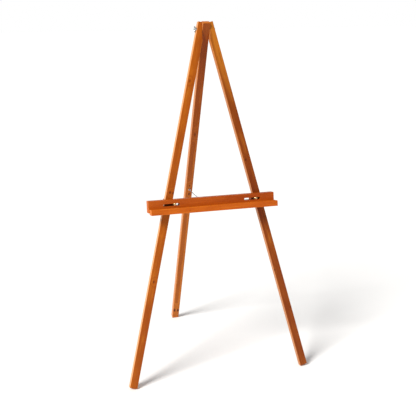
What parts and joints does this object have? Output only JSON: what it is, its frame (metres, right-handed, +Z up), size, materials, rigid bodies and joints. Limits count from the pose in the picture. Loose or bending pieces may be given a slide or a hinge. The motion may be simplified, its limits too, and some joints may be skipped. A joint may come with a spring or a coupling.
{
  "type": "artist easel",
  "caption": "Folding wooden tripod easel: two splayed front legs, a hinged rear leg on a chain, and a slotted tray clamped to the front legs.",
  "frame": {"origin": "on the floor, in the middle of the easel's overall box", "axes": "+Z up, +Y towards the rear leg, +X to the right of someone facing the tray"},
  "size_m": [0.8628, 0.8064, 1.6042],
  "materials": {
    "leg_pine": "orange-brown stained pine, satin lacquer",
    "rear_pine": "orange-brown stained pine, satin lacquer",
    "tray_pine": "red-brown stained pine, satin lacquer",
    "lip_pine": "orange-brown stained pine, satin lacquer",
    "block_pine": "stained pine",
    "zinc_steel": "zinc-plated steel",
    "chain_steel": "bright plated steel wire",
    "brass": "polished brass"
  },
  "bodies": {
    "front_frame": {"left_front_leg": "leg_pine", "right_front_leg": "leg_pine", "top_bolt": "zinc_steel", "top_bolt_washer": "zinc_steel", "top_nut_washer": "zinc_steel"},
    "rear_leg": {"rear_leg": "rear_pine", "rear_leg_eye": "zinc_steel"},
    "top_nut": {"top_wing_nut": "zinc_steel"},
    "tray": {"tray_board": "tray_pine", "tray_lip": "lip_pine", "lip_screw_left": "zinc_steel", "lip_screw_middle": "zinc_steel", "lip_screw_right": "zinc_steel", "tray_eye": "zinc_steel"},
    "left_clamp": {"left_clamp_block": "block_pine", "left_clamp_bolt": "brass", "left_clamp_washer": "zinc_steel"},
    "left_nut": {"left_clamp_wing_nut": "zinc_steel"},
    "right_clamp": {"right_clamp_block": "block_pine", "right_clamp_bolt": "brass", "right_clamp_washer": "zinc_steel"},
    "right_nut": {"right_clamp_wing_nut": "zinc_steel"},
    "chain_rear": {"rear_chain_ring": "chain_steel", "chain_rear_half": "chain_steel"},
    "chain_front": {"tray_chain_ring": "chain_steel", "chain_front_half": "chain_steel"}
  },
  "joints": [
    {"name": "rear_leg_fold", "type": "hinge", "parent": "front_frame", "child": "rear_leg", "pos_m": [0, -0.15948, 1.56849], "axis": [-1, 0, 0], "range_deg": [0, 25.5], "deforming": ["chain_rear_half", "chain_front_half"]},
    {"name": "tray_slide", "type": "slide", "parent": "front_frame", "child": "tray", "axis": [0, 0.1461, 0.9893], "range_m": [-0.007, 0.08], "deforming": ["chain_rear_half", "chain_front_half"]},
    {"name": "left_clamp_slide", "type": "slide", "parent": "front_frame", "child": "left_clamp", "axis": [0.2402, 0.1418, 0.9603], "range_m": [-0.03, 0.09]},
    {"name": "right_clamp_slide", "type": "slide", "parent": "front_frame", "child": "right_clamp", "axis": [-0.2402, 0.1418, 0.9603], "range_m": [-0.03, 0.09]},
    {"name": "top_nut_turn", "type": "hinge", "parent": "front_frame", "child": "top_nut", "pos_m": [-0.04115, -0.15948, 1.56849], "axis": [-1, 0, 0], "continuous": true},
    {"name": "left_nut_turn", "type": "hinge", "parent": "left_clamp", "child": "left_nut", "pos_m": [-0.19104, -0.24441, 0.80925], "axis": [0, 0.9893, -0.1461], "continuous": true},
    {"name": "right_nut_turn", "type": "hinge", "parent": "right_clamp", "child": "right_nut", "pos_m": [0.19104, -0.24441, 0.80925], "axis": [0, 0.9893, -0.1461], "continuous": true},
    {"name": "chain_rear_turn", "type": "hinge", "parent": "rear_leg", "child": "chain_rear", "pos_m": [0, 0.0914, 0.78006], "axis": [1, 0, 0], "range_deg": [0, 106.1]},
    {"name": "chain_front_turn", "type": "hinge", "parent": "tray", "child": "chain_front", "pos_m": [0, -0.27421, 0.79192], "axis": [1, 0, 0], "range_deg": [-94.6, 0]}
  ],
  "couplings": [
    {"joint": "left_clamp_slide", "follows": "tray_slide", "ratio": 1.0302},
    {"joint": "right_clamp_slide", "follows": "tray_slide", "ratio": 1.0302},
    {"joint": "chain_rear_turn", "follows": "rear_leg_fold", "ratio": 4.1199},
    {"joint": "chain_front_turn", "follows": "rear_leg_fold", "ratio": -3.669}
  ]
}
